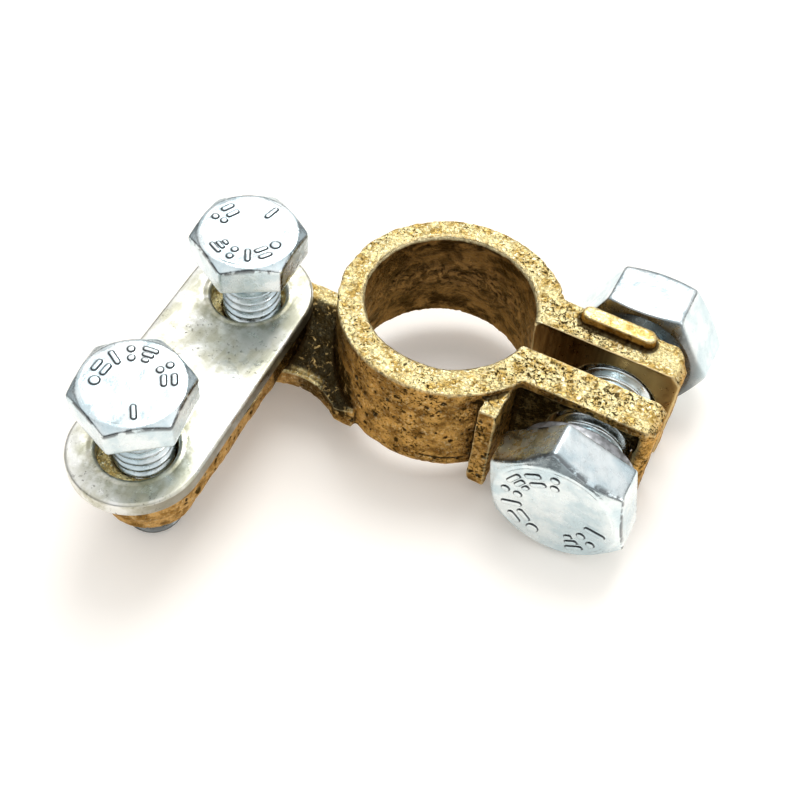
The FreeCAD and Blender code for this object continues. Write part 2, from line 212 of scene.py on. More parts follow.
def bar(x, y, spot, along, length, width):
    """Distance from a bar with round ends, below 0 inside it."""
    dx, dy = x - spot[0], y - spot[1]
    u = dx * math.cos(along) + dy * math.sin(along)
    v = -dx * math.sin(along) + dy * math.cos(along)
    return np.hypot(np.maximum(np.abs(u) - length / 2, 0), v) - width / 2


def mark_relief(x, y, marks, radius, scale):
    """Height share of plain raised bars and dots round a head, each (angle, form)."""
    nearest = np.full_like(x, 9.0)
    for degrees, form in marks:
        angle = math.radians(degrees)
        out, side = np.array([math.cos(angle), math.sin(angle)]), (-math.sin(angle), math.cos(angle))
        spot = radius * out
        if form == "dot":
            shapes = [(spot, angle, 0, 0.75)]
        elif form == "bar":
            shapes = [(spot, angle, 1.0, 0.34)]
        elif form == "twin":
            shapes = [(spot + 0.4 * scale * out, angle + math.pi / 2, 0.7, 0.36),
                      (spot - 0.4 * scale * out, angle + math.pi / 2, 0.7, 0.36)]
        elif form == "steps":
            shapes = [(spot + shift * scale * out, angle + math.pi / 2, length, 0.3)
                      for shift, length in ((0.5, 0.9), (0.0, 0.55), (-0.5, 0.2))]
        else:
            shapes = [(spot + 0.42 * scale * out, angle, 0, 0.5),
                      (spot - 0.42 * scale * out, angle, 0, 0.5)]
        for place, along, length, width in shapes:
            nearest = np.minimum(nearest, bar(x, y, place, along, length * scale, width * scale))
    return 1 - smooth_step(nearest, -0.05, 0.13)


def head_rings(flats, height, face_radius, drop, marks, mark_radius, mark_scale, thread):
    """Rings of a cold-formed hexagon head, from its face's centre down to the shank."""
    corner = flats / math.sqrt(3)
    side = hexagon_radius(flats)
    rings = []
    for radius in np.arange(0.1, face_radius - 0.2, 0.085):
        x, y = radius * np.cos(ANGLES), radius * np.sin(ANGLES)
        dish = -0.07 * (1 - smooth_step(np.full_like(x, radius), 0.2 * flats, face_radius * 0.92))
        flat = np.stack([x, y, np.full_like(x, flats)], axis=1)
        waves = 0.02 * noise_at(flat, 0.5, 8)
        relief = 0.2 * mark_relief(x, y, marks, mark_radius, mark_scale)
        rings.append(polar(radius, ANGLES, height + dish + waves + relief))

    def chamfer(radius):
        slope = drop / (corner - face_radius)
        return height - slope * np.maximum(radius - face_radius, 0)

    for share in np.linspace(0, 1, 9):
        start = face_radius - 0.2
        radius = start + (side - 0.16 - start) * share
        over = np.clip((radius - face_radius + 0.2) / 0.4, 0, 1)
        blend = height - 0.5 * (height - chamfer(face_radius + 0.2)) * over ** 2
        rings.append(polar(radius, ANGLES,
                           np.where(radius < face_radius + 0.2, blend, chamfer(radius))))
    edge = chamfer(side)
    for inset, fall in ((0.08, 0.04), (0.025, 0.1), (0.0, 0.2)):
        rings.append(polar(side - inset, ANGLES, chamfer(side - inset) - fall))
    for share in np.linspace(0.12, 0.9, 6):
        rings.append(polar(side, ANGLES, (edge - 0.2) * (1 - share) + 0.12 * share))
    for inset, rise in ((0.0, 0.12), (0.03, 0.05), (0.12, 0.0)):
        rings.append(polar(side - inset, ANGLES, rise))
    rings.append(polar(0.47 * flats, ANGLES, 0.02))
    rings.append(polar(0.45 * flats, ANGLES, 0.0))
    rings.append(polar(thread + 0.35, ANGLES, 0.0))
    rings.append(polar(thread + 0.12, ANGLES, -0.06))
    return rings


def thread_radius(angles, height, major, pitch):
    """Radius of a right-hand external thread at an angle and a height."""
    turn = np.mod(height / pitch - angles / math.tau, 1.0)
    wave = np.abs(turn - 0.5) * 2
    depth = 0.6134 * pitch
    share = np.clip((wave - 0.14) / 0.72, 0, 1)
    return major - depth * (1 - share)


def shank_rings(major, pitch, length, plain, tip):
    """Rings of a threaded shank: a short plain neck, the thread and a bevelled tip."""
    rings = [polar(major, ANGLES, -0.2), polar(major, ANGLES, -plain)]
    step = pitch / 12
    for height in np.arange(-plain - step, -length, -step):
        into = smooth_step(np.full_like(ANGLES, -height), plain, plain + 0.8 * pitch)
        radius = major - (major - thread_radius(ANGLES, height, major, pitch)) * into
        bevel = major - tip * smooth_step(np.full_like(ANGLES, -height), length - tip, length + 0.1)
        rings.append(polar(np.minimum(radius, bevel), ANGLES, height))
    rings.append(polar(major - tip - 0.1, ANGLES, -length))
    rings.append(polar((major - tip) * 0.5, ANGLES, -length))
    return rings


def make_screw(name, size, spot, rotation, marks, material, body, node):
    """A hexagon screw with forged head marks and a true helical thread."""
    rings = head_rings(size["flats"], size["head"], size["face"], size["drop"], marks,
                       size["mark_radius"], size["mark_scale"], size["major"])
    rings += shank_rings(size["major"], size["pitch"], size["length"], size["plain"], size["tip"])
    top = (0, 0, size["head"] - 0.07)
    bottom = (0, 0, -size["length"])
    vertices, faces = ring_stack(rings, top, bottom)
    piece = new_piece(name, placed(vertices, rotation, spot), faces, material, body,
                      (node,))
    x, y, z = vertices.T
    marked = mark_relief(x, y, marks, size["mark_radius"], size["mark_scale"])
    radius = np.hypot(x, y)
    on_face = (z > size["head"] - 0.3) & (radius < size["face"])
    side = hexagon_radius(size["flats"], np.arctan2(y, x))
    slope = size["drop"] / (size["flats"] / math.sqrt(3) - size["face"])
    edge_height = size["head"] - slope * np.maximum(side - size["face"], 0)
    # The last few millimetres towards the tip are painted dark as shade.
    keep_shades(piece, {"mark": marked * on_face,
                        "line": (side - radius < 0.1) & (np.abs(z - edge_height) < 0.22),
                        "painted_shade": smooth_step(-z, size["length"] - 4.5, size["length"] - 2.5)})
    return piece


def make_nut(material):
    """The hexagon nut: a closed stack of rings round its threaded bore."""
    low, high = box_mm("pinch_nut")
    thickness = high[1] - low[1]
    flats, face, drop, pitch = 13.0, 6.1, 0.75, 1.25
    bore = 4.02
    corner, side = flats / math.sqrt(3), hexagon_radius(flats)

    def fall(radius):
        return drop / (corner - face) * np.maximum(radius - face, 0)

    rings = []
    for height in np.arange(0.5, thickness - 0.49, pitch / 8):
        turn = np.mod(height / pitch + ANGLES / math.tau, 1.0)
        rings.append(polar(bore + 0.45 * (1 - np.abs(turn - 0.5) * 2), ANGLES, height))
    for radius in (bore + 0.15, bore + 0.5, bore + 0.62, 5.2, face - 0.15, face):
        rings.append(polar(radius, ANGLES, thickness - (0.35 if radius < bore + 0.3 else 0)))
    bevel_radii = [face + (side - 0.1 - face) * share for share in np.linspace(0.15, 1, 6)]
    for radius in bevel_radii:
        rings.append(polar(radius, ANGLES, thickness - fall(radius)))
    rings.append(polar(side - 0.02, ANGLES, thickness - fall(side) - 0.1))
    for share in np.linspace(0.05, 0.95, 8):
        rings.append(polar(side, ANGLES, (thickness - fall(side) - 0.2) * (1 - share)
                           + (fall(side) + 0.2) * share))
    rings.append(polar(side - 0.02, ANGLES, fall(side) + 0.1))
    for radius in reversed(bevel_radii):
        rings.append(polar(radius, ANGLES, fall(radius)))
    for radius in (face, face - 0.15, 5.2, bore + 0.62, bore + 0.5, bore + 0.15):
        rings.append(polar(radius, ANGLES, 0.35 if radius < bore + 0.3 else 0.0))
    vertices, faces = ring_stack(rings, closed=True)
    rotation = Quaternion((1, 0, 0), -math.pi / 2) @ Quaternion((0, 0, 1), math.radians(-4.0))
    from_axis = np.hypot(vertices[:, 0], vertices[:, 1])
    # The face that bears on the ear and the threaded bore, painted dark as shade.
    painted_shade = np.maximum(1 - smooth_step(vertices[:, 2], 0.0, 1.0), from_axis < bore + 0.6)
    vertices = placed(vertices, rotation, (PINCH_X, low[1], PINCH_Z))
    piece = new_piece("nut_m8", vertices, faces, material, "pinch_nut_body",
                      ("pinch_nut",))
    keep_shades(piece, {"painted_shade": painted_shade})
    return piece


def make_washer(material):
    """The split spring washer: a rounded rectangle swept along nearly one turn of a helix."""
    low, high = box_mm("pinch_spring_washer")
    inner, outer, section = 4.2, 6.05, 1.2
    opening = high[1] - low[1] - section
    gap, start = math.radians(9.0), math.radians(205.0)
    corner = 0.22
    outline = []
    for turn in range(4):
        centre_r = (outer - corner) if turn in (0, 3) else (inner + corner)
        centre_z = (section - corner) if turn in (0, 1) else corner
        for share in np.linspace(0, 1, 5):
            angle = math.radians(90 * (turn + share))
            outline.append((centre_r + corner * math.cos(angle),
                            centre_z + corner * math.sin(angle)))
    outline = np.array(outline)
    steps = 220
    rings = []
    for share in np.linspace(0, 1, steps):
        angle = start + share * (math.tau - gap)
        radius, height = outline[:, 0], outline[:, 1] + opening * share
        rings.append(np.stack([radius * math.cos(angle), radius * math.sin(angle), height], axis=1))
    vertices, faces = ring_stack(rings, rings[0].mean(axis=0), rings[-1].mean(axis=0))
    rotation = Quaternion((1, 0, 0), math.pi / 2)
    vertices = placed(vertices, rotation, (PINCH_X, high[1], PINCH_Z))
    return new_piece("spring_washer_m8", vertices, faces, material, "washer_body",
                     ("pinch_spring_washer",))


# ---------------------------------------------------------------- casting

VOXEL = 0.16


def evaluated_mesh(piece):
    """The piece's mesh after its modifiers."""
    bpy.context.view_layer.update()
    graph = bpy.context.evaluated_depsgraph_get()
    return bpy.data.meshes.new_from_object(piece.evaluated_get(graph))


def remeshed_points(node, voxel):
    """Vertices in millimetres, quads and edges of a node's solid, rebuilt as an even fine mesh."""
    mesh = frame["nodes"][node].data.copy()
    mesh.transform(Matrix.Scale(1 / MM, 4))
    scratch = bpy.data.objects.new("scratch", mesh)
    bpy.context.scene.collection.objects.link(scratch)
    weld = scratch.modifiers.new("weld", "WELD")
    weld.merge_threshold = 0.0005
    remesh = scratch.modifiers.new("remesh", "REMESH")
    remesh.mode = "VOXEL"
    remesh.voxel_size = voxel
    fine = evaluated_mesh(scratch)
    points = np.empty(len(fine.vertices) * 3)
    fine.vertices.foreach_get("co", points)
    quads = np.empty(len(fine.loops), dtype=np.int32)
    fine.loops.foreach_get("vertex_index", quads)
    edges = np.empty(len(fine.edges) * 2, dtype=np.int32)
    fine.edges.foreach_get("vertices", edges)
    bpy.data.objects.remove(scratch)
    bpy.data.meshes.remove(fine)
    return points.reshape(-1, 3), quads.reshape(-1, 4), edges.reshape(-1, 2)


def neighbour_mean(values, edges):
    """Mean of each vertex's neighbours."""
    total = np.zeros_like(values)
    count = np.zeros(len(values))
    for first, second in ((0, 1), (1, 0)):
        np.add.at(total, edges[:, first], values[edges[:, second]])
        np.add.at(count, edges[:, first], 1)
    return total / (count[:, None] if values.ndim > 1 else count)


def vertex_normals(points, quads):
    """Unit vertex normals of a mesh of quads."""
    flat = np.cross(points[quads[:, 2]] - points[quads[:, 0]],
                    points[quads[:, 3]] - points[quads[:, 1]])
    normals = np.zeros_like(points)
    for column in range(4):
        np.add.at(normals, quads[:, column], flat)
    return normals / np.maximum(np.linalg.norm(normals, axis=1), 1e-12)[:, None]


def make_casting(material):
    """The brass casting: softened edges, lumps, pits, a parting line and a crease above it."""
    points, quads, edges = remeshed_points("clamp_casting", VOXEL)
    faces = outward(points, quads)
    quads = np.array(faces)
    for _ in range(3):
        points += 0.5 * (neighbour_mean(points, edges) - points)
    normals = vertex_normals(points, quads)
    x, y, z = points.T
    from_bore = np.hypot(x, y)
    from_pinch = np.hypot(x - PINCH_X, z - PINCH_Z)
    in_slot = (np.abs(y) < SLOT_REACH) & (x > SLOT_START)
    in_bore = (from_bore < BORE_REACH) & (normals[:, 2] < 0.75) & ~in_slot
    in_holes = (from_pinch < EAR_HOLE_REACH) & (x > 10)
    # The near ear's recess, which the material paints dark as shade.
    in_recess = (x > 9.4) & (x < 22.3) & (y < -4.3) & (y > -5.35) & (z < 11.2)
    in_recess &= normals[:, 1] < -0.3
    # The neck between the saddle and the ring, which the material paints nearly black as shade.
    neck = (x > -16) & (x < -5.5) & (y < -1.8) & (y > -12) & (from_bore > 11) & (z < 7)
    neck &= (z > 2.3) | ((x > -9.5) & (z > 1.2))
    # Where the nut and the washer land: kept flat, so that no lump reaches into them.
    seat = (from_pinch < SEAT_REACH) & (np.abs(y) > 4) & (np.abs(normals[:, 1]) > 0.6)
    ridge = (y > 3.2) & (y < 5.5) & (x > 11.6) & (x < 20.0) & (z > RING_HEIGHT + 0.3)
    cast = 1.0 - 0.93 * in_slot - 0.4 * in_bore - 0.9 * in_holes - 0.6 * ridge
    cast = np.clip(neighbour_mean(neighbour_mean(cast, edges), edges), 0, 1)
    # How far each face turns upward; besides the lumps and pits, the material uses it to paint the
    # sides darker than the tops.
    upward = smooth_step(neighbour_mean(normals[:, 2], edges), 0.55, 0.9)

    warped = points + 0.3 * np.stack([noise_at(points, 1.7, seed) for seed in (21, 22, 23)], axis=1)
    lumps = 0.10 * noise_at(points, 0.35, 1) + 0.06 * noise_at(points, 0.9, 2)
    grain = 0.045 * noise_at(points, 2.2, 3)
    pits = np.maximum(spots_at(warped, 1.25, 4, 0.75, 0.16, 0.5),
                      0.8 * spots_at(warped, 0.7, 5, 0.55, 0.12, 0.3))
    parting = np.exp(-((z - PARTING_HEIGHT) / LINE_WIDTH) ** 2) * (np.abs(normals[:, 2]) < 0.5)
    outside = (from_bore > 9.5) & ~in_slot
    depth = (lumps + grain - 0.03) * cast - 0.15 * pits * cast * (1 - 0.5 * upward)
    depth += 0.07 * parting * outside
    on_ring = outside & (from_bore < 12.3) & (np.abs(normals[:, 2]) < 0.5)
    crease = np.exp(-((z - CREASE_HEIGHT) / LINE_WIDTH) ** 2) * on_ring
    crease = crease * smooth_step(noise_at(points, 0.5, 9), -0.6, 0.2)
    depth -= 0.10 * crease
    depth[seat] = np.minimum(depth[seat], -0.01)
    band = np.exp(-((z - 6.2) / 2.4) ** 2) * in_bore
    torn = spots_at(warped, 1.0, 6, 0.85, 0.2, 0.5) + 0.4 * noise_at(points, 1.2, 7)
    depth -= 0.11 * band * torn
    # How far each spot bulges out or sinks in, which the material turns into painted highlights on
    # edges and painted shade in crevices.
    bend = np.einsum("ij,ij->i", points - neighbour_mean(points, edges), normals)
    bend = neighbour_mean(bend, edges)
    points = points + normals * depth[:, None]

    piece = new_piece("brass_casting", points, faces, material, "clamp_body",
                      ("clamp_casting",))
    # The bore's rim gets the strongest painted highlight.
    rim = (from_bore < 9.1) & (z > RING_HEIGHT - 0.8)
    keep_shades(piece, {
        "pit": np.maximum(pits * cast * (1 - 0.75 * upward) * (x > -13), 0.6 * crease),
        "edge": np.clip(bend / (0.065 * VOXEL), -1, 1) * np.where(rim, 1.0, 0.55),
        "neck": np.clip(neighbour_mean(neighbour_mean(neck * 1.0, edges), edges), 0, 1),
        "cast": cast,
        "upward": upward,
        "bore": in_bore | in_holes,
        "band": band,
        "slot": in_slot,
        "recess": in_recess,
    })
    return piece


# ---------------------------------------------------------------- plate

PLATE_TURN = math.radians(2.3)
PLATE_ALONG = np.array([-math.sin(PLATE_TURN), math.cos(PLATE_TURN)])
PLATE_HOLES = [(PLATE[LOW] + PLATE[HIGH])[:2] / 2 + PLATE_ALONG * reach
               for reach in PLATE_HOLE_REACHES]


def make_plate(material):
    """The punched plate: a stadium with two holes, its punched edges rounded over."""
    low, high = PLATE
    centre = (low + high) / 2
    middle = centre[:2]
    outline = []
    for end, start in ((1, 0.0), (-1, math.pi)):
        for share in np.linspace(0, 1, 49):
            angle = PLATE_TURN + start + math.pi * share
            outline.append(middle + PLATE_ALONG * PLATE_SPAN / 2 * end
                           + PLATE_RADIUS * np.array([math.cos(angle), math.sin(angle)]))
    loops = [outline]
    for spot in PLATE_HOLES:
        loops.append([spot + PLATE_HOLE_RADIUS * np.array([math.cos(angle), math.sin(angle)])
                      for angle in np.linspace(0, math.tau, 64, endpoint=False)])
    curve = bpy.data.curves.new("plate_curve", "CURVE")
    curve.dimensions = "2D"
    curve.fill_mode = "BOTH"
    round_over = 0.38
    curve.extrude = ((high[2] - low[2]) / 2 - round_over) * MM
    curve.bevel_depth = round_over * MM
    curve.bevel_resolution = 4
    curve.offset = -round_over * MM
    for loop in loops:
        spline = curve.splines.new("POLY")
        spline.points.add(len(loop) - 1)
        for point, (px, py) in zip(spline.points, loop):
            point.co = (px * MM, py * MM, 0, 1)
        spline.use_cyclic_u = True
    scratch = bpy.data.objects.new("plate_scratch", curve)
    bpy.context.scene.collection.objects.link(scratch)
    mesh = evaluated_mesh(scratch)
    bpy.data.objects.remove(scratch)
    points = np.empty(len(mesh.vertices) * 3)
    mesh.vertices.foreach_get("co", points)
    points = points.reshape(-1, 3) / MM
    points[:, 2] += centre[2]
    faces = [tuple(polygon.vertices) for polygon in mesh.polygons]
    piece = new_piece("steel_plate", points, faces, material, "plate_body",
                      ("cable_clamp_plate",), smooth=False)
    weld = piece.modifiers.new("weld", "WELD")
    weld.merge_threshold = 0.000005
    piece.data.shade_smooth()
    piece.data.set_sharp_from_angle(angle=math.radians(40))
    return piece


# ---------------------------------------------------------------- materials

def new_material(name):
    """A material with its Principled shader and a tree to add to."""
    material = bpy.data.materials.new(name)
    material.use_nodes = True
    tree = material.node_tree
    return material, tree, tree.nodes["Principled BSDF"]


def position(tree):
    """Object position in the tree, in metres."""
    return tree.nodes.new("ShaderNodeTexCoord").outputs["Object"]


def texture(tree, millimetres, detail=4.0, roughness=0.55, stretch=None, curl=0.0):
    """Noise with features of about a size in millimetres, optionally stretched or curled."""
    source = position(tree)
    if stretch:
        mapping = tree.nodes.new("ShaderNodeMapping")
        mapping.inputs["Scale"].default_value = stretch
        tree.links.new(source, mapping.inputs["Vector"])
        source = mapping.outputs["Vector"]
    made = tree.nodes.new("ShaderNodeTexNoise")
    made.inputs["Scale"].default_value = 1 / (millimetres * MM)
    made.inputs["Detail"].default_value = detail
    made.inputs["Roughness"].default_value = roughness
    made.inputs["Distortion"].default_value = curl
    tree.links.new(source, made.inputs["Vector"])
    return made.outputs["Fac"]


def attribute(tree, name):
    """A value kept on the mesh's vertices."""
    made = tree.nodes.new("ShaderNodeAttribute")
    made.attribute_name = name
    return made.outputs["Fac"]


def ramp(tree, source, low, high, start=0.0, end=1.0):
    """A number remapped from low..high to start..end, smoothly and clamped."""
    made = tree.nodes.new("ShaderNodeMapRange")
    made.interpolation_type = "SMOOTHSTEP"
    values = {"From Min": low, "From Max": high, "To Min": start, "To Max": end}
    for key, value in values.items():
        made.inputs[key].default_value = value
    tree.links.new(source, made.inputs["Value"])
    return made.outputs["Result"]


def mix(tree, share, first, second):
    """A colour between two colours, either of them a colour or an output."""
    made = tree.nodes.new("ShaderNodeMix")
    made.data_type = "RGBA"
    for socket, value in ((made.inputs["Factor"], share), (made.inputs[6], first),
                          (made.inputs[7], second)):
        if isinstance(value, bpy.types.NodeSocket):
            tree.links.new(value, socket)
        elif isinstance(value, tuple):
            socket.default_value = (*value, 1.0)
        elif socket.type == "RGBA":
            socket.default_value = (value, value, value, 1.0)
        else:
            socket.default_value = value
    return made.outputs[2]


def calculate(tree, operation, first, second):
    """A number worked out from two numbers or outputs."""
    made = tree.nodes.new("ShaderNodeMath")
    made.operation = operation
    for socket, value in zip(made.inputs, (first, second)):
        if isinstance(value, bpy.types.NodeSocket):
            tree.links.new(value, socket)
        else:
            socket.default_value = value
    return made.outputs[0]


def bump(tree, shader, height, millimetres, strength):
    """A bump of a real height, added to those the shader has."""
    made = tree.nodes.new("ShaderNodeBump")
    made.inputs["Distance"].default_value = millimetres * MM
    made.inputs["Strength"].default_value = strength
    tree.links.new(height, made.inputs["Height"])
    before = shader.inputs["Normal"].links
    if before:
        tree.links.new(before[0].from_socket, made.inputs["Normal"])
    tree.links.new(made.outputs["Normal"], shader.inputs["Normal"])


def coordinate(tree, axis, low, high):
    """0 to 1 between two places, in millimetres, along one axis."""
    split = tree.nodes.new("ShaderNodeSeparateXYZ")
    tree.links.new(position(tree), split.inputs["Vector"])
    return ramp(tree, split.outputs[axis], low * MM, high * MM)


def away_from(tree, x, y, near, far):
    """1 at a distance near and 0 at a distance far from an upright axis, in millimetres."""
    flat = tree.nodes.new("ShaderNodeVectorMath")
    flat.operation = "MULTIPLY"
    tree.links.new(position(tree), flat.inputs[0])
    flat.inputs[1].default_value = (1, 1, 0)
    length = tree.nodes.new("ShaderNodeVectorMath")
    length.operation = "DISTANCE"
    tree.links.new(flat.outputs[0], length.inputs[0])
    length.inputs[1].default_value = (x * MM, y * MM, 0)
    return ramp(tree, length.outputs["Value"], near * MM, far * MM, 1.0, 0.0)


def cast_brass():
    """Cast brass: pale speckled tops, browner sides, dark pits, a brown bore and slot, with painted
    shade and painted highlights.
    """
    material, tree, shader = new_material("cast_brass")
    shader.inputs["Metallic"].default_value = 1.0
    shader.inputs["Specular Tint"].default_value = (1.0, 0.80, 0.54, 1.0)
    upward, cast = attribute(tree, "upward"), attribute(tree, "cast")
    # Paler tops and browner sides: the sides are darkened partly as painted shade and partly as the
    # raw cast skin.
    top = mix(tree, ramp(tree, texture(tree, 1.3, 6, 0.7), 0.40, 0.58), (0.62, 0.42, 0.12),
              (1.0, 0.86, 0.44))
    side = mix(tree, ramp(tree, texture(tree, 1.6, 5), 0.36, 0.62), (0.20, 0.10, 0.022),
               (0.60, 0.35, 0.10))
    # The ring's wall is painted nearly black towards the saddle, as shade.
    left_shade = mix(tree, coordinate(tree, "X", -12.0, -4), 0.9, 0.0)
    left_shade = calculate(tree, "MULTIPLY", left_shade, coordinate(tree, "X", -13.2, -12.0))
    side = mix(tree, left_shade, side, (0.045, 0.026, 0.009))
    smooth = coordinate(tree, "X", -11.0, -13.0)
    foot = mix(tree, ramp(tree, texture(tree, 1.4, 6, 0.65), 0.40, 0.58), (0.22, 0.115, 0.03),
               (0.60, 0.38, 0.15))
    side = mix(tree, calculate(tree, "MULTIPLY", smooth, 0.85), side, foot)
    colour = mix(tree, upward, side, top)
    pits = ramp(tree, attribute(tree, "pit"), 0.10, 0.5)
    colour = mix(tree, pits, colour, (0.05, 0.028, 0.008))
    grit = texture(tree, 0.34, 4, 0.6, curl=0.8)
    patches = ramp(tree, texture(tree, 3.5, 3), 0.38, 0.62, 0.35, 1.0)
    cover = calculate(tree, "MULTIPLY", patches, cast)
    cover = calculate(tree, "MULTIPLY", cover, coordinate(tree, "X", -13.0, -11.0))
    calm = calculate(tree, "SUBTRACT", 1.0, coordinate(tree, "X", 2.0, 11.0))
    coarse = calculate(tree, "SUBTRACT", grit, calculate(tree, "MULTIPLY", calm, 0.028))
    specks = calculate(tree, "MULTIPLY", ramp(tree, coarse, 0.525, 0.565), cover)
    colour = mix(tree, specks, colour, (0.045, 0.027, 0.007))
    glints = calculate(tree, "MULTIPLY", ramp(tree, grit, 0.43, 0.38), cast)
    glints = calculate(tree, "MULTIPLY", glints, mix(tree, upward, 0.2, 0.9))
    colour = mix(tree, glints, colour, (1.0, 0.95, 0.66))

    cloud = ramp(tree, texture(tree, 2.6, 8, 0.68, stretch=(1.0, 1.0, 1.7), curl=0.6), 0.42, 0.60)
    inner = mix(tree, cloud, (0.04, 0.02, 0.006), (0.28, 0.16, 0.05))
    colour = mix(tree, attribute(tree, "bore"), colour, inner)
    torn = ramp(tree, texture(tree, 1.1, 6, 0.75, curl=1.0), 0.45, 0.58)
    band = calculate(tree, "MULTIPLY", attribute(tree, "band"), 0.85)
    ragged = mix(tree, torn, (0.018, 0.010, 0.004), (0.40, 0.24, 0.09))
    colour = mix(tree, calculate(tree, "MULTIPLY", band, 0.75), colour, ragged)
    # Streaky brown slot walls, painted darker deep in the slot towards the bore as shade, and
    # lighter towards its open end.
    streaks = texture(tree, 0.35, 4, 0.5, stretch=(1.0, 1.0, 0.08))
    slot_streaks_and_shade = mix(tree, ramp(tree, streaks, 0.35, 0.7), (0.16, 0.085, 0.025), (0.27, 0.16, 0.055))
    slot_streaks_and_shade = mix(tree, coordinate(tree, "X", 12, 23), slot_streaks_and_shade, (0.42, 0.28, 0.11))
    colour = mix(tree, attribute(tree, "slot"), colour, slot_streaks_and_shade)
    # The near ear's recess painted dark as shade, with lighter flecks.
    recess_shade = mix(tree, ramp(tree, texture(tree, 0.7, 5, 0.7), 0.48, 0.60), (0.018, 0.013, 0.006),
               (0.17, 0.13, 0.055))
    colour = mix(tree, attribute(tree, "recess"), colour, recess_shade)
    # Painted shade on the neck, nearly black, with painted golden glints.
    neck_shade_and_glints = mix(tree, ramp(tree, texture(tree, 0.8, 6, 0.7, curl=0.8), 0.56, 0.62),
               (0.016, 0.009, 0.003), (0.60, 0.42, 0.17))
    colour = mix(tree, calculate(tree, "MULTIPLY", attribute(tree, "neck"), 0.95), colour, neck_shade_and_glints)
    # Painted highlight on bulging edges and painted shade in sunken crevices.
    colour = mix(tree, ramp(tree, attribute(tree, "edge"), 0.35, 0.9), colour, (1.0, 0.88, 0.52))
    crevice_shade = calculate(tree, "MULTIPLY", attribute(tree, "edge"), -1.0)
    colour = mix(tree, ramp(tree, crevice_shade, 0.10, 0.4, 0.0, 0.9), colour, (0.035, 0.02, 0.007))
    tree.links.new(colour, shader.inputs["Base Color"])

    rough = ramp(tree, texture(tree, 0.8), 0.3, 0.7, 0.26, 0.44)
    rough = calculate(tree, "ADD", rough, calculate(tree, "MULTIPLY", specks, 0.25))
    tree.links.new(rough, shader.inputs["Roughness"])
    height = calculate(tree, "MULTIPLY", grit, calculate(tree, "MULTIPLY", cast, -1.0))
    bump(tree, shader, height, 0.30, 0.8)
    bump(tree, shader, texture(tree, 0.2, 4, 0.6), 0.03, 0.5)
    return material


def zinc_plate():
    """Bright bluish zinc over forged steel: fine frost, faint clouds, dark outlines round the marks.
    """
    material, tree, shader = new_material("bright_zinc")
    shader.inputs["Metallic"].default_value = 1.0
    colour = mix(tree, ramp(tree, texture(tree, 3.0, 5), 0.38, 0.62), (0.58, 0.69, 0.73),
                 (0.80, 0.86, 0.87))
    scuffs = ramp(tree, texture(tree, 0.45, 6, 0.75), 0.60, 0.72)
    colour = mix(tree, scuffs, colour, (0.36, 0.38, 0.39))
    mark = attribute(tree, "mark")
    rise = ramp(tree, mark, 0.04, 0.28)
    outline = calculate(tree, "MULTIPLY", rise, ramp(tree, mark, 0.98, 0.68))
    colour = mix(tree, calculate(tree, "MULTIPLY", outline, 0.95), colour, (0.05, 0.055, 0.06))
    broken = ramp(tree, texture(tree, 1.3, 4, 0.6), 0.42, 0.52)
    line = calculate(tree, "MULTIPLY", attribute(tree, "line"), broken)
    colour = mix(tree, calculate(tree, "MULTIPLY", line, 0.85), colour, (0.10, 0.105, 0.11))
    # Screw tips, and the nut's bearing face and bore, painted dark as shade.
    colour = mix(tree, calculate(tree, "MULTIPLY", attribute(tree, "painted_shade"), 0.8), colour,
                 (0.07, 0.065, 0.055))
    tree.links.new(colour, shader.inputs["Base Color"])
    rough = ramp(tree, texture(tree, 1.2, 5), 0.3, 0.7, 0.16, 0.36)
    tree.links.new(rough, shader.inputs["Roughness"])
    bump(tree, shader, texture(tree, 0.9, 3), 0.07, 0.5)
    bump(tree, shader, texture(tree, 0.14, 4, 0.6), 0.014, 0.7)
    return material


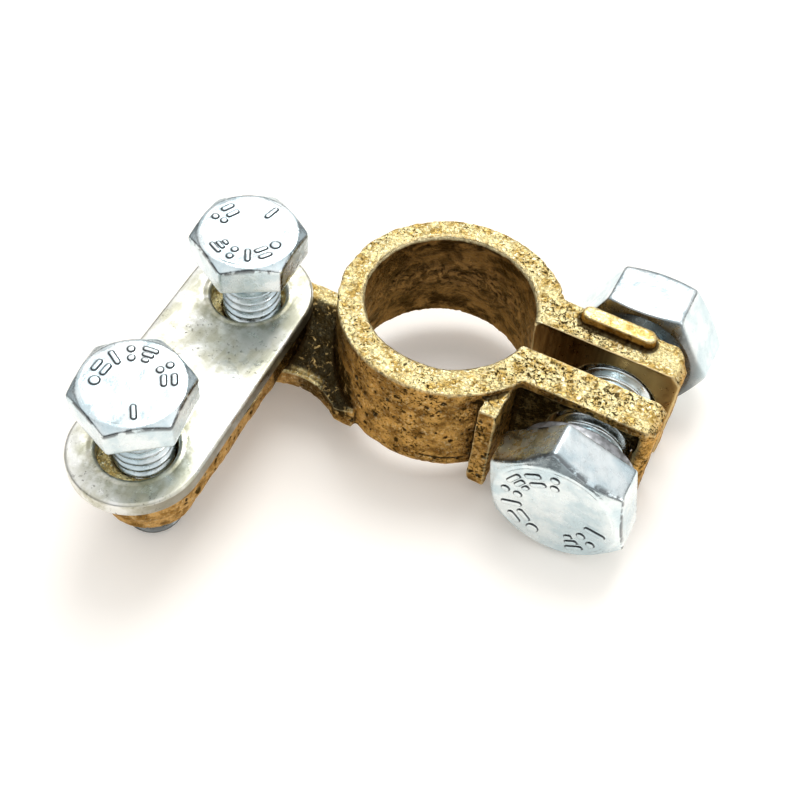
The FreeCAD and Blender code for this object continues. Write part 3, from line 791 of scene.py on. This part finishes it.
def rolled_steel(holes):
    """Rolled steel with yellowish passivation, stains round the holes and dark specks."""
    material, tree, shader = new_material("passivated_steel")
    shader.inputs["Metallic"].default_value = 1.0
    clouds = ramp(tree, texture(tree, 3.2, 6, 0.6), 0.40, 0.60)
    colour = mix(tree, clouds, (0.80, 0.80, 0.76), (0.56, 0.55, 0.44))
    streaks = ramp(tree, texture(tree, 0.7, 4, 0.6, stretch=(1.0, 0.12, 1.0)), 0.45, 0.68)
    colour = mix(tree, calculate(tree, "MULTIPLY", streaks, 0.5), colour, (0.84, 0.84, 0.81))
    # Edge walls that face +X are painted darker, as shade.
    facing = tree.nodes.new("ShaderNodeSeparateXYZ")
    tree.links.new(tree.nodes.new("ShaderNodeNewGeometry").outputs["Normal"],
                   facing.inputs["Vector"])
    shaded_wall = calculate(tree, "MULTIPLY", ramp(tree, facing.outputs["Z"], 0.15, 0.55, 0.9, 0.0),
                     ramp(tree, facing.outputs["X"], 0.35, 0.85))
    colour = mix(tree, shaded_wall, colour, (0.22, 0.20, 0.15))
    for x, y in holes:
        stain = calculate(tree, "MULTIPLY", away_from(tree, x, y, 3.9, 6.8),
                          ramp(tree, texture(tree, 1.5, 6, 0.65), 0.40, 0.62))
        colour = mix(tree, calculate(tree, "MULTIPLY", stain, 0.85), colour, (0.30, 0.30, 0.19))
        lip = calculate(tree, "MULTIPLY", away_from(tree, x, y, 4.3, 5.0),
                        ramp(tree, texture(tree, 0.9, 5), 0.35, 0.6))
        colour = mix(tree, calculate(tree, "MULTIPLY", lip, 0.3), colour, (0.55, 0.50, 0.33))
    patches = ramp(tree, texture(tree, 4.5, 3), 0.42, 0.60)
    specks = ramp(tree, texture(tree, 0.42, 5, 0.75), 0.585, 0.65)
    specks = calculate(tree, "MULTIPLY", specks, calculate(tree, "MULTIPLY", patches, 0.85))
    colour = mix(tree, specks, colour, (0.13, 0.12, 0.08))
    tree.links.new(colour, shader.inputs["Base Color"])
    rough = ramp(tree, texture(tree, 1.6, 5), 0.3, 0.7, 0.26, 0.5)
    tree.links.new(rough, shader.inputs["Roughness"])
    for x, y in holes:
        bump(tree, shader, away_from(tree, x, y, 4.1, 4.6), 0.12, 0.8)
    bump(tree, shader, texture(tree, 1.8, 4), 0.12, 0.5)
    bump(tree, shader, texture(tree, 0.2, 4, 0.6), 0.02, 0.6)
    return material


def dull_zinc():
    """Dull grey zinc on the spring washer, faintly mottled."""
    material, tree, shader = new_material("dull_zinc")
    shader.inputs["Metallic"].default_value = 1.0
    colour = mix(tree, ramp(tree, texture(tree, 0.7, 5), 0.35, 0.65), (0.20, 0.205, 0.21),
                 (0.42, 0.43, 0.45))
    tree.links.new(colour, shader.inputs["Base Color"])
    tree.links.new(ramp(tree, texture(tree, 0.9), 0.3, 0.7, 0.3, 0.5), shader.inputs["Roughness"])
    bump(tree, shader, texture(tree, 0.15, 4, 0.6), 0.015, 0.6)
    return material


# ---------------------------------------------------------------- stage

def make_camera():
    """A camera above the near side, to the right, rolled a little because the clamp lies tilted."""
    target, distance = Vector((0.1, -10.63, 8.0)) * MM, 118.0 * MM
    across, above, roll = math.radians(22.45), math.radians(53.31), math.radians(5.87)
    back = Vector((math.sin(across) * math.cos(above), -math.cos(across) * math.cos(above),
                   math.sin(above)))
    data = bpy.data.cameras.new("camera")
    data.sensor_width = 36.0
    data.lens = 55.71
    data.clip_start = 0.005
    camera = bpy.data.objects.new("camera", data)
    camera.location = target + back * distance
    camera.rotation_mode = "QUATERNION"
    camera.rotation_quaternion = ((-back).to_track_quat("-Z", "Y")
                                  @ Quaternion((0, 0, 1), roll))
    bpy.context.scene.collection.objects.link(camera)
    bpy.context.scene.camera = camera


def lowest(node):
    """The lowest point of a CAD node in millimetres."""
    mesh = frame["nodes"][node].data
    points = np.empty(len(mesh.vertices) * 3)
    mesh.vertices.foreach_get("co", points)
    points = points.reshape(-1, 3) / MM
    same_depth = 0.02
    return points[points[:, 2] < points[:, 2].min() + same_depth].mean(axis=0)


def make_floor():
    """A wide pale floor with a faint glow of its own, under the screws' tips and the nut."""
    first, second, third = [Vector(lowest(name)) for name in
                            ("cable_bolt_front", "cable_bolt_rear", "pinch_nut")]
    normal = (third - first).cross(second - first).normalized()
    if normal.z < 0:
        normal = -normal
    mesh = bpy.data.meshes.new("floor")
    reach, clearance = 1.2, 0.15
    flat = [Vector((sx * reach, sy * reach, 0)) for sx, sy in ((-1, -1), (1, -1), (1, 1), (-1, 1))]
    turn = Vector((0, 0, 1)).rotation_difference(normal)
    spot = first * MM - normal * clearance * MM
    mesh.from_pydata([tuple(turn @ corner + spot) for corner in flat], [], [(0, 1, 2, 3)])
    floor = bpy.data.objects.new("floor", mesh)
    bpy.context.scene.collection.objects.link(floor)
    material, tree, shader = new_material("pale_paper")
    shader.inputs["Base Color"].default_value = (0.96, 0.93, 0.885, 1.0)
    shader.inputs["Roughness"].default_value = 0.9
    shader.inputs["Specular IOR Level"].default_value = 0.1
    shader.inputs["Emission Color"].default_value = (1.0, 0.92, 0.82, 1.0)
    shader.inputs["Emission Strength"].default_value = 0.15
    mesh.materials.append(material)


def add_light(name, spot, aim, size, power, colour=(1, 1, 1)):
    """A soft square light at a spot, aimed at a point, both in millimetres."""
    data = bpy.data.lights.new(name, "AREA")
    data.size = size * MM
    data.energy = power
    data.color = colour
    light = bpy.data.objects.new(name, data)
    light.location = Vector(spot) * MM
    direction = (Vector(aim) - Vector(spot)).normalized()
    light.rotation_mode = "QUATERNION"
    light.rotation_quaternion = direction.to_track_quat("-Z", "Y")
    bpy.context.scene.collection.objects.link(light)


def make_lights():
    """A light tent: a bright sky that darkens towards the horizon, and soft lamps."""
    world = bpy.data.worlds.new("tent")
    world.use_nodes = True
    bpy.context.scene.world = world
    tree = world.node_tree
    background = tree.nodes["Background"]
    direction = tree.nodes.new("ShaderNodeTexCoord").outputs["Generated"]
    split = tree.nodes.new("ShaderNodeSeparateXYZ")
    tree.links.new(direction, split.inputs["Vector"])
    sky = mix(tree, ramp(tree, split.outputs["Z"], 0.1, 0.85), (0.16, 0.16, 0.16),
              (1.0, 1.0, 1.0))
    tree.links.new(sky, background.inputs["Color"])
    background.inputs["Strength"].default_value = 1.08
    add_light("key", (-40, 120, 270), (0, -5, 5), 150, 0.42)
    add_light("right", (220, 10, 140), (5, -5, 5), 100, 0.08)


def make_screws(material):
    """The two cable screws and the pinch screw, each with plain marks in place of lettering."""
    small = {"flats": 10.0, "head": 3.3, "face": 4.67, "drop": 0.6, "major": 2.95, "pitch": 1.0,
             "length": 18.0, "plain": 0.5, "tip": 0.8, "mark_radius": 3.2, "mark_scale": 1.15}
    large = {"flats": 13.0, "head": 4.6, "face": 6.0, "drop": 0.88, "major": 3.95, "pitch": 1.25,
             "length": 25.0, "plain": 0.7, "tip": 0.8, "mark_radius": 4.25, "mark_scale": 1.5}
    arc = ("steps", "pair", "bar", "twin", "dot")
    for end, turn, arc_at, pair_at, single_at in (("front", 38.9, 152, 47, -53),
                                                  ("rear", 32.5, -60, 167, 77)):
        marks = [(arc_at - turn + 27 * (index - 2), form) for index, form in enumerate(arc)]
        marks += [(pair_at - turn - 13, "twin"), (pair_at - turn + 13, "pair")]
        marks.append((single_at - turn, "bar"))
        low, high = box_mm(f"cable_bolt_{end}")
        spot = ((low[0] + high[0]) / 2, (low[1] + high[1]) / 2, high[2] - small["head"])
        make_screw(f"screw_m6_{end}", small, spot, Quaternion((0, 0, 1), math.radians(turn)),
                   marks, material, f"{end}_bolt_body", f"cable_bolt_{end}")
    turn, arc_at, pair_at, short_at = -18, 200, 110, -30
    marks = [(arc_at - turn + 25 * (index - 2), form) for index, form in enumerate(arc)]
    marks += [(pair_at - turn - 13, "pair"), (pair_at - turn + 13, "twin")]
    marks += [(short_at - turn + 25 * (index - 1), form) for index, form in enumerate(arc[:3])]
    rotation = (Quaternion((1, 0, 0), math.pi / 2)
                @ Quaternion((0, 0, 1), math.radians(turn)))
    make_screw("screw_m8_pinch", large, PINCH_SPOT, rotation, marks, material,
               "pinch_bolt_body", "pinch_bolt")


def make_scene():
    """Every piece, the stage, the lights and the camera."""
    make_camera()
    make_floor()
    make_lights()
    zinc = zinc_plate()
    make_casting(cast_brass())
    make_plate(rolled_steel(PLATE_HOLES))
    make_screws(zinc)
    make_nut(zinc)
    make_washer(dull_zinc())
    settings = bpy.context.scene.view_settings
    settings.view_transform = "Standard"
    settings.look = "None"


make_scene()
